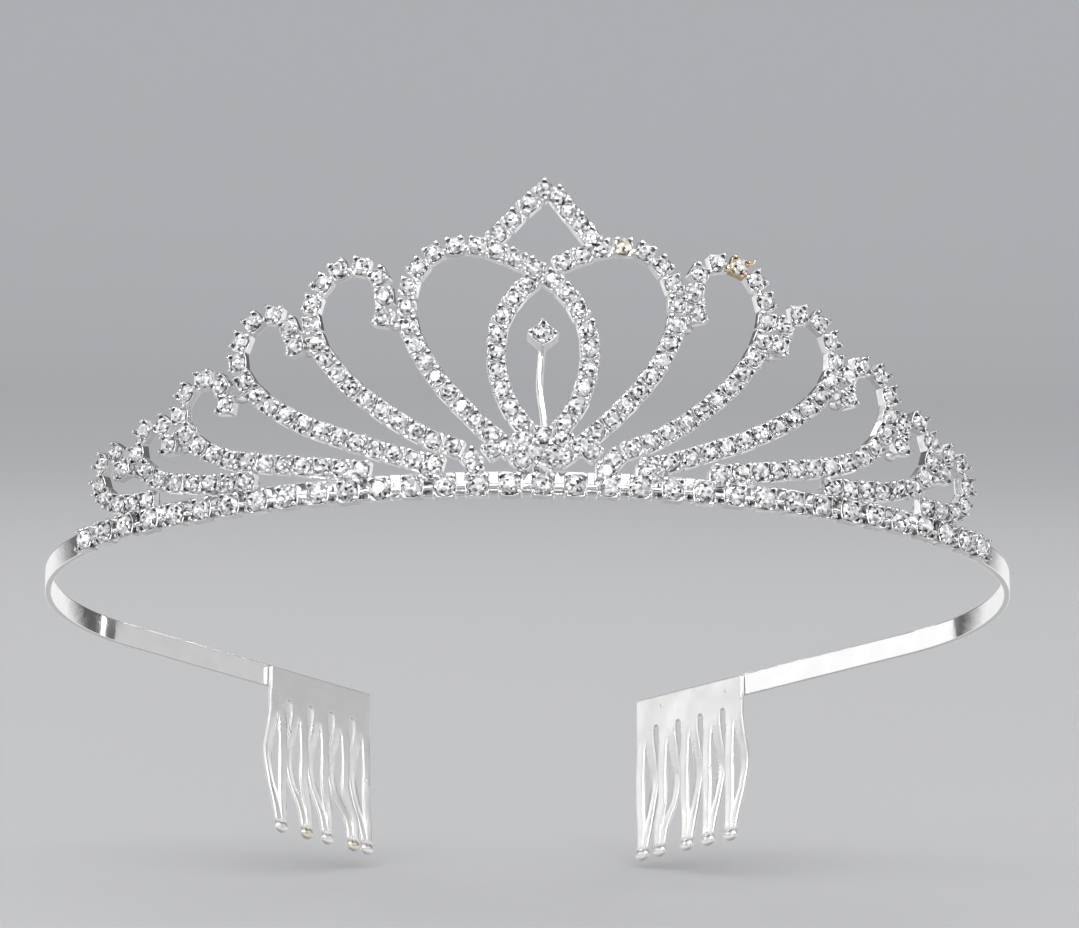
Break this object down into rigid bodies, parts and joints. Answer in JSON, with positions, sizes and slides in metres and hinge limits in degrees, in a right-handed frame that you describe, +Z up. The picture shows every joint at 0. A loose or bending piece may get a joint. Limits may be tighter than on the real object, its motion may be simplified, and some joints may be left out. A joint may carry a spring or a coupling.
{
  "type": "tiara",
  "caption": "Silver tiara: springy open headband with hair combs at its ends, a row of cup chain and a crown of crystal scrolls, loops and a pointed centre.",
  "frame": {"origin": "centre of the head opening, in the plane of the headband's mid-height", "axes": "+Z up, +Y from the front of the tiara to its back, +X to the viewer's right; the headband's plane is tipped 20 degrees so that its front is higher than its ends, as it sits on a head"},
  "size_m": [0.1406, 0.1213, 0.1074],
  "materials": {
    "band_silver": "mirror-polished silver plate",
    "comb_silver": "bright plated sheet, slightly satin",
    "chain_silver": "bright plated cups holding clear crystals",
    "crystal": "clear cut crystal"
  },
  "bodies": {
    "crown": {"headband_front": "band_silver", "band_row_chain": "chain_silver", "left_loop_chain": "chain_silver", "right_loop_chain": "chain_silver", "left_almond_chain": "chain_silver", "left_peak_chain": "chain_silver", "right_peak_chain": "chain_silver", "left_scroll_1_chain": "chain_silver", "right_scroll_1_chain": "chain_silver", "left_scroll_2_chain": "chain_silver", "right_scroll_2_chain": "chain_silver", "left_scroll_3_chain": "chain_silver", "right_scroll_3_chain": "chain_silver", "left_scroll_4_chain": "chain_silver", "right_scroll_4_chain": "chain_silver", "left_scroll_5_chain": "chain_silver", "right_scroll_5_chain": "chain_silver", "stem_wire": "band_silver", "stem_setting": "chain_silver", "stem_stone": "crystal"},
    "left_arm": {"headband_left_arm": "band_silver", "left_comb": "comb_silver"},
    "right_arm": {"headband_right_arm": "band_silver", "right_comb": "comb_silver"}
  },
  "joints": [
    {"name": "left_arm_flex", "type": "hinge", "parent": "crown", "child": "left_arm", "pos_m": [-0.06783, -0.0193, 0.00702], "axis": [0, 0.342, 0.9397], "range_deg": [-5, 12], "stiffness_Nm_per_rad": 0.4},
    {"name": "right_arm_flex", "type": "hinge", "parent": "crown", "child": "right_arm", "pos_m": [0.06783, -0.0193, 0.00702], "axis": [0, -0.342, -0.9397], "range_deg": [-5, 12], "stiffness_Nm_per_rad": 0.4}
  ]
}
